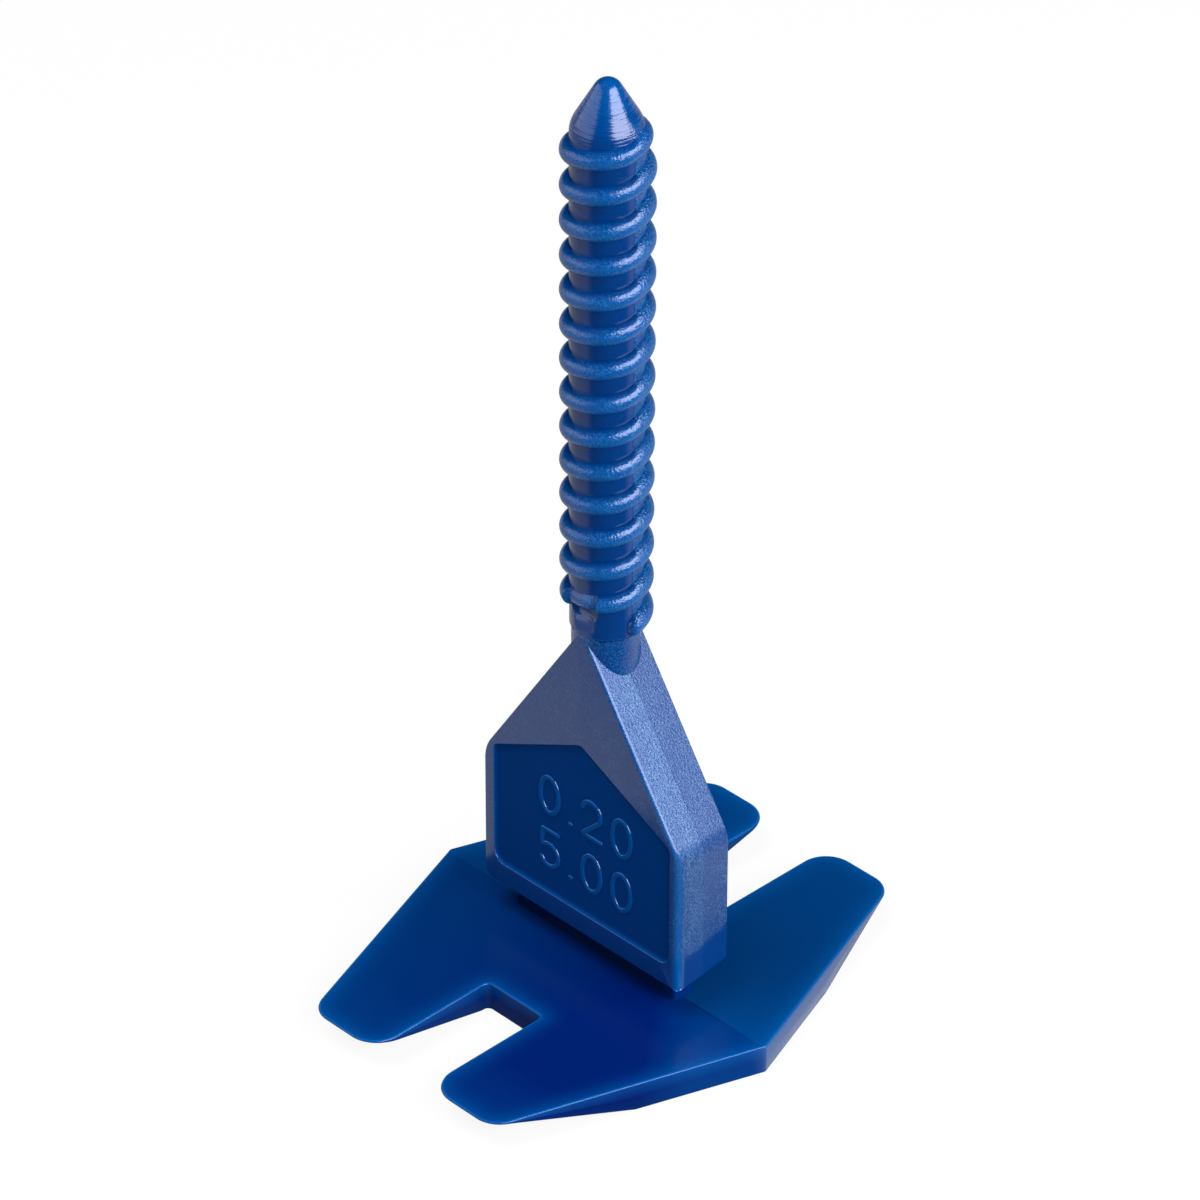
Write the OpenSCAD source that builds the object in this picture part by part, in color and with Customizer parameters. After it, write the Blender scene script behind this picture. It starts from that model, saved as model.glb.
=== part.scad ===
// Tile levelling clip, moulded in one piece of plastic.
// Its four petals lie under two neighbouring tiles, its web stands in the joint and sets
// the joint's width, and a cap spun down the threaded stem presses the tiles level.
// The thin neck snaps when the grout has set, and the web and stem come away.
// Millimetres. X runs along the joint, Y across it, Z up. The origin is the middle of the underside.

/* [Base plate] */
// Width over the two side corners
base_w = 32.9; // [28:0.1:40]
// Length from petal tip to petal tip
base_l = 40.5; // [36:0.1:50]
// Thickness at the middle
base_t = 2.35; // [1.8:0.05:4]
// Thickness left at the petal tips
tip_t = 0.4; // [0.3:0.05:1]
// Fall of the top face from its middle crease to the tips
crown = 0.12; // [0.04:0.01:0.3]
// Length of the flat part of the underside
flat_l = 19.4; // [16:0.1:24]
// Angle at which the petals' outer sides close in
petal_taper = 19.3; // [10:0.1:22]
// Corner radius of the petal tips
petal_r = 2.2; // [1:0.1:2.8]
// Width of the notch between two petals
notch_w = 5.7; // [4:0.1:8]
// Length of plate left between the two notches
bridge_l = 18.1; // [14:0.1:22]
// Corner radius at the notch root
notch_r = 0.45; // [0.2:0.05:1]

/* [Neck] */
// Width of the neck that snaps
neck_w = 16.4; // [10:0.1:17]
// Thickness of the neck
neck_t = 2; // [1:0.1:3]
// Height of the neck between plate and web
neck_h = 2.4; // [1:0.1:4]

/* [Web] */
// Thickness of the web, which is the width of the tile joint
web_t = 5; // [3:0.1:6]
// Width of the web
web_w = 20; // [18.5:0.1:24]
// Height of the web's upright sides, up to the corner of the gable
web_side_h = 11.6; // [8:0.1:20]
// Slope of the gable's sides from level
gable_angle = 56.4; // [50:0.1:62]
// Radius over the shoulder between side and gable
shoulder_r = 3.5; // [1:0.1:5]
// Radius of the lower corners, seen from the front
foot_r = 0.9; // [0.3:0.1:1.7]
// Radius of the lower long edges, seen from the side
underside_r = 0.3; // [0.2:0.1:1]

/* [Pocket] */
// Depth of the shallow pocket in each face of the web
pocket_d = 0.25; // [0.1:0.05:0.6]
// Rim beside the pocket
pocket_side = 1; // [0.6:0.1:2]
// Rim below the pocket
pocket_foot = 1.95; // [1.4:0.05:3]
// Height of the pocket's upright sides
pocket_side_h = 10.3; // [6:0.1:11]
// Slope of the pocket's gable from level
pocket_gable = 27; // [15:1:35]
// Corner radius of the pocket
pocket_r = 0.8; // [0.3:0.1:1.5]

/* [Stem] */
// Diameter of the stem's core
core_d = 5.25; // [4:0.05:6]
// Outer diameter of the thread
thread_d = 6.6; // [6.2:0.05:7.4]
// Rise of the thread in one turn
pitch = 2.75; // [2.2:0.05:4]
// Width of the thread's round bead where it leaves the core
bead_w = 1.45; // [0.8:0.05:1.8]
// Length of the stem from its ring to the foot of its point
stem_l = 40.2; // [25:0.1:60]
// Direction in which the thread's lower end lies, from X
thread_start = -10; // [-180:5:180]
// Length of the thread's ball end, measured as an angle
ball_end = 16; // [10:1:30]
// Length over which the thread runs out at the top, measured as an angle
run_out = 60; // [30:5:180]
// Height of the web's peak above the stem's ring
ring_drop = 0.35; // [0.1:0.05:1]
// Included angle of the point
point_angle = 60; // [45:1:80]
// Radius of the point's nose
nose_r = 1.05; // [0.4:0.05:1.4]

/* [Gate mark] */
// Width of the flat left by the moulding gate
gate_w = 2.4; // [1:0.1:3]
// Length of that flat
gate_l = 3.9; // [2:0.1:6]
// Height of that flat above the stem's core
gate_lift = 0.12; // [0.05:0.01:0.3]
// Height of its lower end above the stem's ring
gate_up = 1; // [0.2:0.1:3]

/* [Hidden] */
$fn = 64;

// Clearance by which the stem's foot and point stay inside the faces around them
foot_inset = 0.03;
// Overlap of joined shapes
sink = 0.3;
// Overshoot of a cut past the face it opens
past = 1;

// Base plate
taper = tan(petal_taper);
side_x = base_w / 2;
tip_y = base_l / 2;
notch_x = notch_w / 2;
notch_y = bridge_l / 2;
flat_y = flat_l / 2;
// Middles of the outer and inner round corners of a petal
corner_y = tip_y - petal_r;
outer_x = side_x - taper * corner_y - petal_r / cos(petal_taper);
inner_x = notch_x + petal_r;
// Outer corner's touching point with the tapered side
touch_x = outer_x + petal_r * cos(petal_taper);
touch_y = corner_y + petal_r * sin(petal_taper);

// Web
web_z = base_t + neck_h;
web_x = web_w / 2;
web_y = web_t / 2;
shoulder_z = web_z + web_side_h;
gable = tan(gable_angle);
peak_z = shoulder_z + web_x * gable;
// Touching points of the shoulder's round with side and gable
shoulder_len = shoulder_r * tan((90 - gable_angle) / 2);
shoulder_top = [web_x - shoulder_len * cos(gable_angle), shoulder_z + shoulder_len * sin(gable_angle)];
shoulder_mid = [web_x - shoulder_r, shoulder_z - shoulder_len];

// Pocket
pocket_x = web_x - pocket_side;
pocket_z = web_z + pocket_foot;
eaves_z = pocket_z + pocket_side_h;
ridge_z = eaves_z + pocket_x * tan(pocket_gable);
// Touching points of the round at the eaves
eaves_len = pocket_r * tan((90 - pocket_gable) / 2);
eaves_top = [pocket_x - eaves_len * cos(pocket_gable), eaves_z + eaves_len * sin(pocket_gable)];
eaves_mid = [pocket_x - pocket_r, eaves_z - eaves_len];

// Stem, and the number of sections around one turn of its thread
turn_steps = 20;
core_r = core_d / 2;
bead_h = (thread_d - core_d) / 2;
// Least radius of the core's many-sided section, and the radii of the foot and of the point inside it
core_in_r = core_r * cos(180 / turn_steps);
point_r = core_in_r - foot_inset;
foot_core_r = min(web_y, core_in_r) - foot_inset;
ring_z = peak_z - ring_drop;
stem_z = ring_z + stem_l;
foot_z = peak_z - (foot_core_r + sink) * gable;
// Point: where its cone meets the round nose
half_point = point_angle / 2;
nose_touch = [nose_r * cos(half_point), nose_r * sin(half_point)];
nose_z = stem_z + (point_r - nose_touch[0]) / tan(half_point) - nose_touch[1];

// Thread: points over the bead in each section
arc_steps = 5;
step_a = 360 / turn_steps;
row_n = arc_steps + 1;
// Height of the bead's middle at its lower end, and the whole number of sections up to the stem's end
thread_z = ring_z + bead_w / 2;
bead_stop = 0.2;
rows = floor((stem_z - bead_stop - thread_z) / pitch * turn_steps);
// Share of the full bead at an angle from the lower end: round there, fading at the upper end
function bead_share(a) =
    a < ball_end ? sqrt(1 - pow(1 - a / ball_end, 2))
    : sqrt(min(1, (rows * step_a - a) / run_out));
// Width left to the bead where its height is nothing, and the step between points at the stem's end
least_w = 0.3;
end_step = 0.03;
function around(i, r, z) = [r * cos(thread_start + step_a * i), r * sin(thread_start + step_a * i), z];
function bead_point(i, k) =
    let (s = bead_share(step_a * i), t = 180 * k / arc_steps)
    let (half_w = (least_w + (1 - least_w) * s) * bead_w / 2)
    let (z = thread_z + pitch * i / turn_steps - half_w * cos(t))
    around(i, core_r + s * bead_h * sin(t), min(z, stem_z - end_step * (row_n - k)));
// Places of the points in the list: lower ring, upper ring, then the sections
function low(i) = i % turn_steps;
function high(i) = turn_steps + i % turn_steps;
function on(i, k) = 2 * turn_steps + i * row_n + k;

// Half of a petal pair's outline, right of the middle and towards +Y, with its two round corners
module petal() {
    polygon([
        [0, 0], [side_x, 0], [touch_x, touch_y], [outer_x, corner_y], [outer_x, tip_y],
        [inner_x, tip_y], [inner_x, corner_y], [notch_x, corner_y], [0, corner_y]
    ]);
    for (x = [outer_x, inner_x]) translate([x, corner_y]) circle(r = petal_r);
}

// Notch between two petals, round in its two root corners
module notch() {
    translate([-notch_x, notch_y + notch_r]) square([notch_w, base_l]);
    translate([-notch_x + notch_r, notch_y]) square([notch_w - 2 * notch_r, base_l]);
    for (s = [-1, 1]) translate([s * (notch_x - notch_r), notch_y + notch_r]) circle(r = notch_r);
}

// Plate: the outline from above, cut to the wedge that its long section shows
module plate() {
    intersection() {
        linear_extrude(base_t) for (v = [0, 1]) mirror([0, v]) difference() {
            for (u = [0, 1]) mirror([u, 0]) petal();
            notch();
        }
        rotate([90, 0, 90]) linear_extrude(base_w + 2 * past, center = true) polygon([
            [-flat_y, 0], [flat_y, 0], [tip_y, base_t - crown - tip_t], [tip_y, base_t - crown],
            [0, base_t], [-tip_y, base_t - crown], [-tip_y, base_t - crown - tip_t]
        ]);
    }
}

// Break-off neck, run a little into plate and web
module neck() {
    translate([-neck_w / 2, -neck_t / 2, base_t - sink]) cube([neck_w, neck_t, neck_h + 2 * sink]);
}

// House-shaped outline of the web from the front, with round shoulders and lower corners
module web_outline() {
    polygon([
        [-web_x + foot_r, web_z], [web_x - foot_r, web_z], [web_x - foot_r, web_z + foot_r],
        [web_x, web_z + foot_r], [web_x, shoulder_mid[1]], shoulder_mid, shoulder_top, [0, peak_z],
        [-shoulder_top[0], shoulder_top[1]], [-shoulder_mid[0], shoulder_mid[1]],
        [-web_x, shoulder_mid[1]], [-web_x, web_z + foot_r], [-web_x + foot_r, web_z + foot_r]
    ]);
    for (s = [-1, 1]) {
        translate([s * (web_x - foot_r), web_z + foot_r]) circle(r = foot_r);
        translate([s * shoulder_mid[0], shoulder_mid[1]]) circle(r = shoulder_r);
    }
}

// Outline of the pocket in the web's face
module pocket_outline() {
    polygon([
        [-pocket_x + pocket_r, pocket_z], [pocket_x - pocket_r, pocket_z],
        [pocket_x - pocket_r, pocket_z + pocket_r], [pocket_x, pocket_z + pocket_r],
        [pocket_x, eaves_mid[1]], eaves_mid, eaves_top, [0, ridge_z],
        [-eaves_top[0], eaves_top[1]], [-eaves_mid[0], eaves_mid[1]], [-pocket_x, eaves_mid[1]],
        [-pocket_x, pocket_z + pocket_r], [-pocket_x + pocket_r, pocket_z + pocket_r]
    ]);
    for (s = [-1, 1]) {
        translate([s * (pocket_x - pocket_r), pocket_z + pocket_r]) circle(r = pocket_r);
        translate([s * eaves_mid[0], eaves_mid[1]]) circle(r = pocket_r);
    }
}

// Web: its front outline, rounded along the lower edges, with a pocket in each face
module web() {
    difference() {
        intersection() {
            rotate([90, 0, 0]) linear_extrude(web_t, center = true) web_outline();
            rotate([90, 0, 90]) linear_extrude(web_w + 2 * past, center = true) {
                translate([-web_y, web_z + underside_r]) square([web_t, peak_z - web_z]);
                translate([-web_y + underside_r, web_z]) square([web_t - 2 * underside_r, peak_z - web_z]);
                for (s = [-1, 1]) translate([s * (web_y - underside_r), web_z + underside_r]) circle(r = underside_r);
            }
        }
        for (s = [-1, 1]) translate([0, s * (web_y + (past - pocket_d) / 2), 0])
            rotate([90, 0, 0]) linear_extrude(past + pocket_d, center = true) pocket_outline();
    }
}

// Stem's foot, which runs down into the web
module stem_foot() {
    translate([0, 0, foot_z]) cylinder(r = foot_core_r, h = ring_z + sink - foot_z);
}

// Cone point with a round nose
module stem_point() {
    rotate_extrude() {
        polygon([
            [0, stem_z - sink], [point_r, stem_z - sink], [point_r, stem_z],
            nose_touch + [0, nose_z], [0, nose_z]
        ]);
        intersection() {
            translate([0, nose_z]) circle(r = nose_r);
            translate([0, nose_z]) square([nose_r, nose_r]);
        }
    }
}

// Threaded stem: one strip wound up the core in a right-hand helix. Each section of the strip goes
// over the half-round bead, and its upper edge meets the strip's lower edge one turn higher.
module threaded_stem() {
    first_top = rows - turn_steps;
    polyhedron(
        points = concat(
            [for (i = [0 : turn_steps - 1]) around(i, core_r, ring_z)],
            [for (i = [0 : turn_steps - 1]) around(i, core_r, stem_z)],
            [for (i = [0 : rows], k = [0 : arc_steps]) bead_point(i, k)]
        ),
        faces = concat(
            // Bead
            [for (i = [0 : rows - 1], k = [0 : arc_steps - 1]) [on(i, k), on(i, k + 1), on(i + 1, k)]],
            [for (i = [0 : rows - 1], k = [0 : arc_steps - 1]) [on(i + 1, k), on(i, k + 1), on(i + 1, k + 1)]],
            // Core between two turns
            [for (i = [0 : first_top - 1]) [
                on(i, arc_steps), on(i + turn_steps, 0), on(i + 1 + turn_steps, 0), on(i + 1, arc_steps)
            ]],
            // Core below the first turn, closed where the bead begins
            [for (i = [0 : turn_steps - 2]) [low(i), on(i, 0), on(i + 1, 0), low(i + 1)]],
            [concat(
                [low(turn_steps - 1), on(turn_steps - 1, 0), on(turn_steps, 0)],
                [for (k = [arc_steps : -1 : 0]) on(0, k)], [low(0)]
            )],
            // Core above the last turn, closed where the bead ends
            [for (i = [first_top + 1 : rows - 1]) [on(i, arc_steps), high(i), high(i + 1), on(i + 1, arc_steps)]],
            [concat(
                [on(first_top + 1, arc_steps), on(first_top, arc_steps)],
                [for (k = [0 : arc_steps]) on(rows, k)], [high(first_top), high(first_top + 1)]
            )],
            // Flat ends
            [[for (i = [0 : turn_steps - 1]) low(i)]],
            [[for (i = [turn_steps - 1 : -1 : 0]) high(i)]]
        ),
        convexity = 20
    );
}

// Flat across the lowest turns at the front, with a round lower end
module gate_mark() {
    low = ring_z + gate_up + gate_w / 2;
    depth = thread_d / 2;
    translate([0, -core_r - gate_lift, low]) rotate([90, 0, 0]) {
        cylinder(d = gate_w, h = depth);
        translate([-gate_w / 2, 0, 0]) cube([gate_w, gate_l - gate_w / 2, depth]);
    }
}

module levelling_clip() {
    color([0.02, 0.2, 0.5]) {
        plate();
        neck();
        web();
        stem_foot();
        stem_point();
        difference() {
            threaded_stem();
            gate_mark();
        }
    }
}

levelling_clip();
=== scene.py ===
import bmesh
import bpy
import numpy as np
from mathutils import Matrix


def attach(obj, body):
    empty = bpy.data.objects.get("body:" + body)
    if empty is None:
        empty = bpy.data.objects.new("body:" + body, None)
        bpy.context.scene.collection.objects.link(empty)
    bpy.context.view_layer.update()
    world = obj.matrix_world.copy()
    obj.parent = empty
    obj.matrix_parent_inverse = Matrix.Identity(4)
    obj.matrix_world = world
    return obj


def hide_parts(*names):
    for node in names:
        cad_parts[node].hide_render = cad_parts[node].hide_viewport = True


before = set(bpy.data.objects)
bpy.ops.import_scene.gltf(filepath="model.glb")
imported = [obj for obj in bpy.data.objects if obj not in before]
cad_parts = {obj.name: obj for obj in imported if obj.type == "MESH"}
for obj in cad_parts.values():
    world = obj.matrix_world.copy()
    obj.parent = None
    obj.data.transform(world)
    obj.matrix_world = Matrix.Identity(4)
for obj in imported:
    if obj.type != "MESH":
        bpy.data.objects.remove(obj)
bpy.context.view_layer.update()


# Base plate: four petals that lie under two neighbouring tiles, moulded in blue plastic.
# Its underside is flat in the middle and rises to thin petal tips, so that adhesive closes round it.
# The top has a faint crease along the joint, and all its edges are softly rounded by the mould.
MM = 0.001

# Lengths that are as good as none: two in metres, for a finished mesh, and two in millimetres, for outlines.
DOUBLED = 1e-7
NO_WIDTH = 1e-8
SAME_PLACE = 1e-6
LEAST_RADIUS = 1e-4


def side_directions(corners):
    """Unit directions of the sides before and after each corner, and the sine of the turn between them."""
    before = corners - np.roll(corners, 1, axis=0)
    after = np.roll(corners, -1, axis=0) - corners
    before = before / np.linalg.norm(before, axis=1, keepdims=True)
    after = after / np.linalg.norm(after, axis=1, keepdims=True)
    return before, after, before[:, 0] * after[:, 1] - before[:, 1] * after[:, 0]


def round_corners(corners, radii, steps):
    """Closed outline and its outward normals. Each corner becomes the arc of its radius that touches
    both sides: the outward normal turns from one side's to the next in equal steps, and the point is
    the arc's middle plus the radius along that normal, reversed where the corner is hollow."""
    before, after, sine = side_directions(corners)
    turn = np.arctan2(sine, (before * after).sum(axis=1))
    start = corners - before * (radii * np.tan(np.abs(turn) / 2))[:, None]
    facing = np.stack([before[:, 1], -before[:, 0]], axis=1)
    bend = (np.sign(turn) * radii)[:, None]
    swing = turn[:, None] * np.linspace(0, 1, steps)
    normals = np.stack([
        facing[:, :1] * np.cos(swing) - facing[:, 1:] * np.sin(swing),
        facing[:, :1] * np.sin(swing) + facing[:, 1:] * np.cos(swing),
    ], axis=2)
    points = (start - facing * bend)[:, None, :] + normals * bend[:, :, None]
    return points.reshape(-1, 2), normals.reshape(-1, 2)


def shrink_corners(corners, radii, inset):
    """The same outline moved inwards by one distance: corners slide along their mitres, and the radius
    of an outer corner shrinks while that of a hollow one grows."""
    before, after, sine = side_directions(corners)
    facing = np.stack([before[:, 1] + after[:, 1], -before[:, 0] - after[:, 0]], axis=1) / 2
    mitre = facing / (facing ** 2).sum(axis=1, keepdims=True)
    return corners - mitre * inset, np.maximum(radii - np.sign(sine) * inset, LEAST_RADIUS)


def loft_quads(loops, count):
    """Faces between successive closed loops of equally many points, facing outwards where the loops run
    anticlockwise and the loft goes away from the viewer."""
    here = (np.arange(loops - 1)[:, None] * count + np.arange(count)).ravel()
    beside = (np.arange(loops - 1)[:, None] * count + np.roll(np.arange(count), -1)).ravel()
    return np.stack([here, here + count, beside + count, beside], axis=1)


def finish_piece(name, points, faces, marks, materials, which=None, sharp=40):
    """Mesh object in metres from points in millimetres, with its doubled points merged and every mark,
    a value between 0 and 1 at each point, kept as an attribute. It rides on the one moulded body."""
    mesh = bpy.data.meshes.new(name)
    mesh.from_pydata((np.asarray(points) * MM).tolist(), [], faces)
    for mark in ("glow", "grain", "tooled"):
        layer = mesh.attributes.new(mark, "FLOAT", "POINT")
        values = np.broadcast_to(np.clip(marks.get(mark, 0), 0, 1), len(points))
        layer.data.foreach_set("value", np.ascontiguousarray(values, dtype=np.float32))
    for material in materials:
        mesh.materials.append(material)
    if which is not None:
        mesh.polygons.foreach_set("material_index", np.ascontiguousarray(which, dtype=np.int32))
    clean = bmesh.new()
    clean.from_mesh(mesh)
    bmesh.ops.remove_doubles(clean, verts=clean.verts, dist=DOUBLED)
    bmesh.ops.dissolve_degenerate(clean, edges=clean.edges, dist=NO_WIDTH)
    clean.to_mesh(mesh)
    clean.free()
    mesh.shade_smooth()
    mesh.set_sharp_from_angle(angle=np.radians(sharp))
    piece = bpy.data.objects.new(name, mesh)
    bpy.context.scene.collection.objects.link(piece)
    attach(piece, "root")
    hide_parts("levelling_clip")


def math_node(tree, operation, first, second=0):
    """Arithmetic node whose inputs are sockets or plain numbers."""
    node = tree.nodes.new("ShaderNodeMath")
    node.operation = operation
    for socket, value in zip(node.inputs, (first, second)):
        if isinstance(value, (int, float)):
            socket.default_value = value
        else:
            tree.links.new(value, socket)
    return node.outputs["Value"]


def map_node(tree, value, low, high, start, end):
    """Straight map of a value from one range to another, held at both ends."""
    node = tree.nodes.new("ShaderNodeMapRange")
    for name, number in (("From Min", low), ("From Max", high), ("To Min", start), ("To Max", end)):
        node.inputs[name].default_value = number
    tree.links.new(value, node.inputs["Value"])
    return node.outputs["Result"]


def noise_node(tree, place, stretch, detail):
    """Noise on Object coordinates, with a count of its cells in a metre along each axis."""
    turned = tree.nodes.new("ShaderNodeMapping")
    turned.inputs["Scale"].default_value = stretch
    tree.links.new(place, turned.inputs["Vector"])
    node = tree.nodes.new("ShaderNodeTexNoise")
    node.inputs["Scale"].default_value = 1
    node.inputs["Detail"].default_value = detail
    tree.links.new(turned.outputs["Vector"], node.inputs["Vector"])
    return node.outputs["Fac"]


def mix_node(tree, factor, first, second):
    """Blend of two colours, each a socket or four numbers."""
    node = tree.nodes.new("ShaderNodeMix")
    node.data_type = "RGBA"
    tree.links.new(factor, node.inputs["Factor"])
    for name, colour in (("A", first), ("B", second)):
        if isinstance(colour, tuple):
            node.inputs[name].default_value = colour
        else:
            tree.links.new(colour, node.inputs[name])
    return node.outputs["Result"]


def mark_node(tree, name):
    """Value of one of the pieces' marks."""
    node = tree.nodes.new("ShaderNodeAttribute")
    node.attribute_name = name
    return node.outputs["Fac"]


def object_place(tree):
    """Place of the shaded point in its piece's own coordinates, in metres."""
    return tree.nodes.new("ShaderNodeTexCoord").outputs["Object"]


def split_node(tree, vector):
    """X, Y and Z of a vector."""
    node = tree.nodes.new("ShaderNodeSeparateXYZ")
    tree.links.new(vector, node.inputs["Vector"])
    return node.outputs["X"], node.outputs["Y"], node.outputs["Z"]


def effect_group(name, inputs, outputs):
    """Node group for an effect that materials share, with the sockets it is given and those it makes."""
    group = bpy.data.node_groups.new(name, "ShaderNodeTree")
    for direction, sockets in (("INPUT", inputs), ("OUTPUT", outputs)):
        for socket, kind in sockets.items():
            group.interface.new_socket(socket, in_out=direction, socket_type="NodeSocket" + kind)
    return group, group.nodes.new("NodeGroupInput").outputs, group.nodes.new("NodeGroupOutput").inputs


# Colour of the plastic: a blend from its deep body blue to a lighter blue by the glow mark, a painted glow
# that stands in for light through thin edges, beads and the point, and to a paler frosted blue where the
# spark-eroded grain scatters the light. The frosted blue's fine paler specks are partly the grain's own
# tint and partly painted sparkle.
depth_group, given, made = effect_group(
    "blue_with_painted_glow",
    {"Body": "Color", "Glow": "Color", "Frosted": "Color", "Grain": "Float"}, {"Colour": "Color"},
)
place = object_place(depth_group)
blue = mix_node(depth_group, mark_node(depth_group, "glow"), given["Body"], given["Glow"])
clouds = noise_node(depth_group, place, (700, 700, 700), 3)
specks = noise_node(depth_group, place, (7000, 7000, 7000), 1)
uneven = math_node(
    depth_group, "MULTIPLY",
    map_node(depth_group, clouds, 0.35, 0.65, 0.55, 1.25), map_node(depth_group, specks, 0.42, 0.74, 0, 1.6),
)
frosted = math_node(depth_group, "MULTIPLY", given["Grain"], uneven)
depth_group.links.new(mix_node(depth_group, frosted, blue, given["Frosted"]), made["Colour"])

# Finish left by the mould: polished, spark eroded to a fine grain, or turned to close wavy rings.
ring_share = 0.4
finish_group, given, made = effect_group(
    "mould_finish",
    {"Polished": "Float", "Eroded": "Float", "Grain": "Float"}, {"Roughness": "Float", "Relief": "Float"},
)
place = object_place(finish_group)
gap = math_node(finish_group, "SUBTRACT", given["Eroded"], given["Polished"])
gap = math_node(finish_group, "MULTIPLY", gap, given["Grain"])
finish_group.links.new(math_node(finish_group, "ADD", given["Polished"], gap), made["Roughness"])
specks = noise_node(finish_group, place, (6500, 6500, 6500), 1)
specks = math_node(finish_group, "MULTIPLY", specks, given["Grain"])
rings = noise_node(finish_group, place, (500, 500, 7000), 1)
rings = math_node(finish_group, "MULTIPLY", rings, mark_node(finish_group, "tooled"))
rings = math_node(finish_group, "MULTIPLY", rings, ring_share)
finish_group.links.new(math_node(finish_group, "ADD", specks, rings), made["Relief"])

# The second blue below is the painted glow's lighter blue.
BODY_BLUE = (0.0, 0.034, 0.175, 1)
GLOW_BLUE = (0.0, 0.115, 0.42, 1)
FROSTED_BLUE = (0.01, 0.13, 0.36, 1)


def moulded_plastic(name, polished, gloss, eroded=0, relief=0, smooth_below=None):
    """Material of one finish: roughness where polished, gloss, roughness where eroded, and height of its
    grain in metres. Without a height of grain it has one roughness all over. Below a given height, in
    metres and rising a little towards +Y, the grain is polished away."""
    material = bpy.data.materials.new(name)
    material.use_nodes = True
    tree = material.node_tree
    shader = tree.nodes["Principled BSDF"]
    shader.inputs["Specular IOR Level"].default_value = gloss
    colour = tree.nodes.new("ShaderNodeGroup")
    colour.node_tree = depth_group
    colour.inputs["Body"].default_value = BODY_BLUE
    colour.inputs["Glow"].default_value = GLOW_BLUE
    colour.inputs["Frosted"].default_value = FROSTED_BLUE
    tree.links.new(colour.outputs["Colour"], shader.inputs["Base Color"])
    if not relief:
        shader.inputs["Roughness"].default_value = polished
        return material, colour
    grain = mark_node(tree, "grain")
    if smooth_below:
        slope, blur = 0.22, 0.0003
        _, y, z = split_node(tree, object_place(tree))
        level = math_node(tree, "SUBTRACT", z, math_node(tree, "MULTIPLY", y, slope))
        grained = map_node(tree, level, smooth_below - blur, smooth_below + blur, 0, 1)
        grain = math_node(tree, "MULTIPLY", grain, grained)
    tree.links.new(grain, colour.inputs["Grain"])
    finish = tree.nodes.new("ShaderNodeGroup")
    finish.node_tree = finish_group
    finish.inputs["Polished"].default_value = polished
    finish.inputs["Eroded"].default_value = eroded
    tree.links.new(grain, finish.inputs["Grain"])
    tree.links.new(finish.outputs["Roughness"], shader.inputs["Roughness"])
    bump = tree.nodes.new("ShaderNodeBump")
    bump.inputs["Distance"].default_value = relief
    tree.links.new(finish.outputs["Relief"], bump.inputs["Height"])
    tree.links.new(bump.outputs["Normal"], shader.inputs["Normal"])
    return material, colour


# Painted light and shade on the plate, by the place in metres: the half in front of the crease is painted
# deep blue as shade and pales to the right, to the left and at its tips. The half behind is painted lighter,
# most of all beside the web's right side, as painted light.
SHADED_FRONT_BLUE = (0.0, 0.0105, 0.12, 1)
PALE_FRONT_BLUE = (0.0, 0.032, 0.181, 1)
BACK_BLUE = (0.0, 0.039, 0.172, 1)
LIT_BESIDE_WEB_BLUE = (0.0, 0.048, 0.208, 1)
CREASE_SHADE_BLUE = (0.0, 0.006, 0.06, 1)
crease_y = -0.00027
base_plastic, base_colour = moulded_plastic("base_plastic", polished=0.24, gloss=0.35)
tree = base_plastic.node_tree
x, y, _ = split_node(tree, object_place(tree))
slanting = math_node(tree, "ADD", x, math_node(tree, "MULTIPLY", y, 0.8))
far_right = map_node(tree, slanting, 0.0055, 0.01, 0, 1)
pale_tip = map_node(tree, y, -0.014, -0.019, 0, 0.5)
front_blue = mix_node(tree, math_node(tree, "MAXIMUM", far_right, pale_tip), SHADED_FRONT_BLUE, PALE_FRONT_BLUE)
near_crease = map_node(tree, y, 0.0, 0.009, 1, 0)
right_of_web = map_node(tree, x, 0.006, 0.009, 0, 1)
lit_beside_web = math_node(tree, "MULTIPLY", near_crease, right_of_web)
back_blue = mix_node(tree, lit_beside_web, BACK_BLUE, LIT_BESIDE_WEB_BLUE)
behind_crease = map_node(tree, y, -0.00028, -0.00022, 0, 1)
far_left = map_node(tree, x, 0.005, -0.011, 0, 0.6)
lighter = math_node(tree, "MAXIMUM", behind_crease, far_left)
plate_blue = mix_node(tree, lighter, front_blue, back_blue)
# Painted shade: a thin dark line along the crease, on the right from near the web towards the plate's
# corner.
from_crease = math_node(tree, "ABSOLUTE", math_node(tree, "SUBTRACT", y, crease_y))
crease_shade_line = map_node(tree, from_crease, 0.00002, 0.0001, 0.6, 0)
crease_start = map_node(tree, x, 0.008, 0.009, 0, 1)
crease_end = map_node(tree, x, 0.011, 0.015, 1, 0)
crease = math_node(tree, "MULTIPLY", crease_shade_line, math_node(tree, "MINIMUM", crease_start, crease_end))
tree.links.new(mix_node(tree, crease, plate_blue, CREASE_SHADE_BLUE), base_colour.inputs["Body"])

# Sizes of the plate in millimetres, for the quarter towards +X and +Y, and the points in each corner.
side_x = 16.45
tip_y = 20.25
taper = 0.35
notch_x = 2.8
root_y = 9.05
flat_y = 9.7
plate_t = 2.35
tip_t = 0.4
crown = 0.12
arc = 13
plate_edge = 0.1
low_edge = 0.08
parting_out = 0.02
under_in = 0.05
round_from, round_to = 14.5, 19.5


def smooth_step(low, high, x):
    """Rises from 0 to 1 between two values, level at both."""
    t = np.clip((x - low) / (high - low), 0, 1)
    return t * t * (3 - 2 * t)


def plate_top(y):
    """Height of the top: two planes that fall from the middle crease to the tips."""
    return plate_t - crown * np.abs(y) / tip_y


def plate_under(y):
    """Height of the underside: level in the middle, then a straight rise to the thin tips."""
    rise = (plate_t - crown - tip_t) / (tip_y - flat_y)
    return rise * np.maximum(np.abs(y) - flat_y, 0)


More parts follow.
